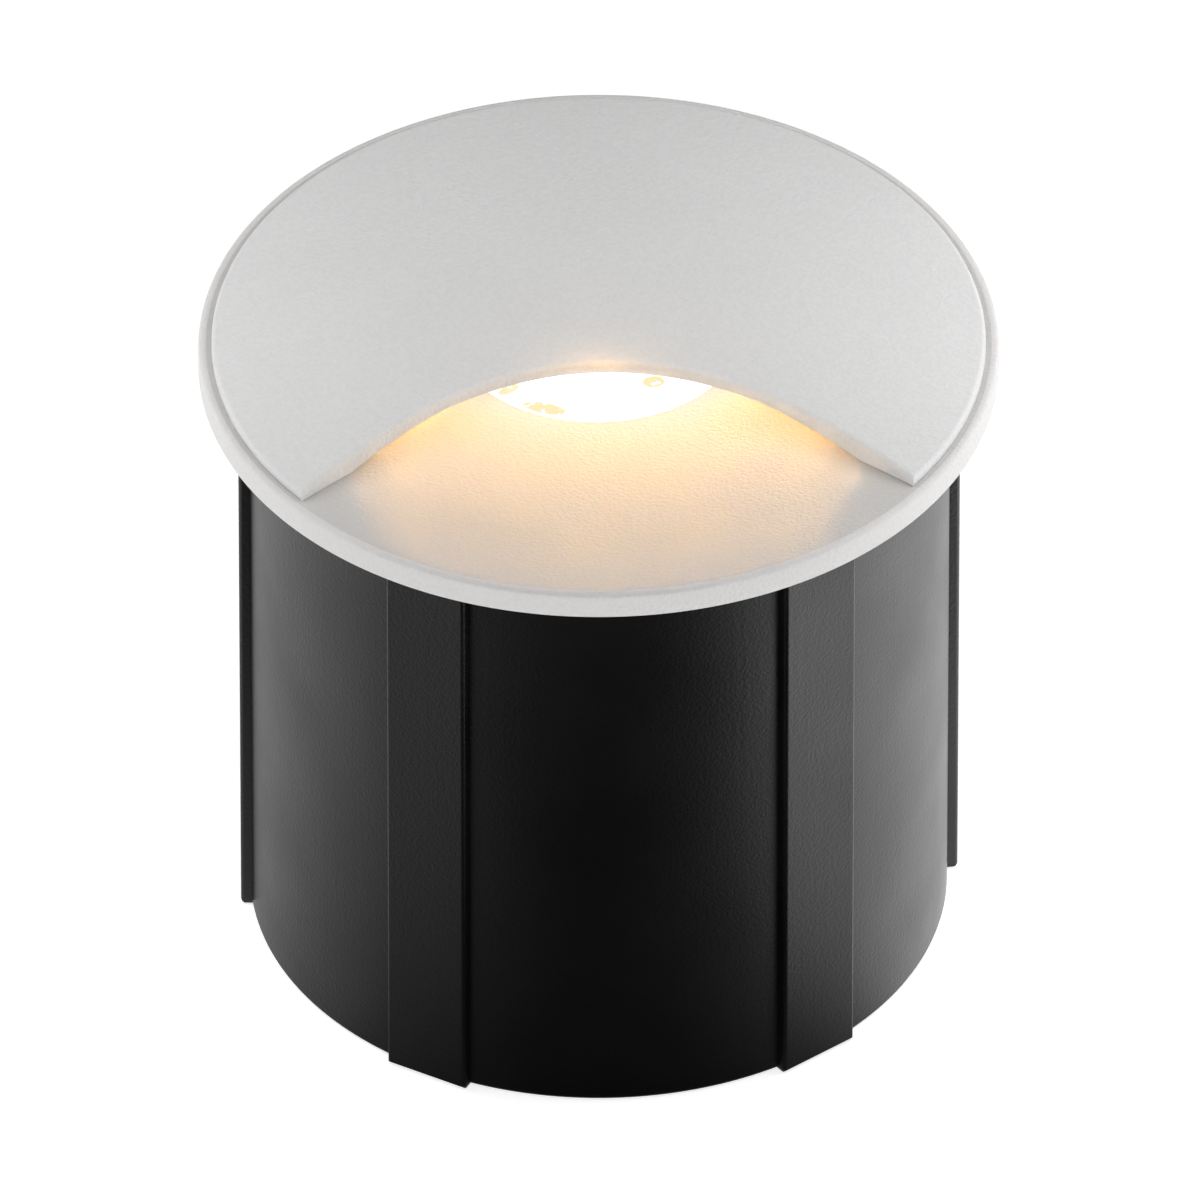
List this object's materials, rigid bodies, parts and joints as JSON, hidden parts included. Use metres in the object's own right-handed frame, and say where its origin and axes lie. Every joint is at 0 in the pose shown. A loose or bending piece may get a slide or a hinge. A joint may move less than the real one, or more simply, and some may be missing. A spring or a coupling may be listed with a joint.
{
  "type": "recessed light",
  "caption": "Round recessed wall light: white eyelid cover hoods a warm LED lens and washes light over a dished face, on an insert held by rubber rings in a ribbed black mounting sleeve.",
  "frame": {"origin": "middle of the mounting sleeve's floor, on the plane that the light stands on when it lies on its back", "axes": "+Z out of the wall through the middle of the face, -Y the way the light leaves (down on a wall), +X to the right seen with +Y up"},
  "size_m": [0.09, 0.09, 0.0785],
  "materials": {
    "sleeve_plastic": "satin black moulding",
    "black_rubber": "matt",
    "powder_coat": "fine-texture white powder coat",
    "powder_coat_cover": "fine-texture white powder coat",
    "screw_steel": "stainless",
    "lens_glass": "clear, lit warm white",
    "silicone": "translucent grey",
    "holder_plastic": "white moulding",
    "phosphor": "lit phosphor resin",
    "white_ceramic": "matt white",
    "led_board_mask": "white solder mask",
    "thermal_silicone": "matt grey pad",
    "housing_aluminium": "turned",
    "circuit_board": "green solder mask",
    "ferrite": "matt dark grey",
    "winding_tape": "yellow polyester tape",
    "capacitor_sleeve": "shrink sleeve",
    "film_capacitor_case": "dipped resin",
    "copper_wire": "enamelled copper",
    "chip_epoxy": "moulded epoxy",
    "terminal_plastic": "green moulding",
    "black_insulation": "wire insulation",
    "red_insulation": "wire insulation",
    "gland_nylon": "black nylon"
  },
  "bodies": {
    "sleeve": {"mounting_sleeve": "sleeve_plastic", "cable_grommet": "black_rubber"},
    "grip_rings": {"grip_ring_front": "black_rubber", "grip_ring_rear": "black_rubber"},
    "lamp": {"front_plate": "powder_coat", "eyelid_cover": "powder_coat_cover", "flange_gasket": "black_rubber", "cover_screws": "screw_steel", "optic_lens": "lens_glass", "lens_gasket": "silicone", "lens_holder": "holder_plastic", "lens_holder_screws": "screw_steel", "led_phosphor": "phosphor", "led_substrate": "white_ceramic", "led_board": "led_board_mask", "thermal_pad": "thermal_silicone", "led_board_screws": "screw_steel", "lamp_housing": "housing_aluminium", "front_plate_screws": "screw_steel", "housing_gasket": "black_rubber", "rear_gasket": "black_rubber", "rear_cover": "housing_aluminium", "rear_cover_screws": "screw_steel", "driver_board": "circuit_board", "driver_board_screws": "screw_steel", "transformer_core": "ferrite", "transformer_winding": "winding_tape", "input_capacitor": "capacitor_sleeve", "output_capacitor": "capacitor_sleeve", "film_capacitor": "film_capacitor_case", "choke_core": "ferrite", "choke_winding": "copper_wire", "rectifier": "chip_epoxy", "controller_chip": "chip_epoxy", "terminal_block": "terminal_plastic", "led_lead_negative": "black_insulation", "led_lead_positive": "red_insulation", "lead_bushings": "black_rubber", "gland_body": "gland_nylon", "gland_locknut": "gland_nylon", "gland_seal": "black_rubber", "gland_nut": "gland_nylon"}
  },
  "joints": [
    {"name": "insert_pull", "type": "slide", "parent": "sleeve", "child": "grip_rings", "axis": [0, 0, 1], "range_m": [0, 0.042]},
    {"name": "insert_turn", "type": "hinge", "parent": "grip_rings", "child": "lamp", "pos_m": [0, 0, 0.05], "axis": [0, 0, 1], "range_deg": [-180, 180]}
  ]
}
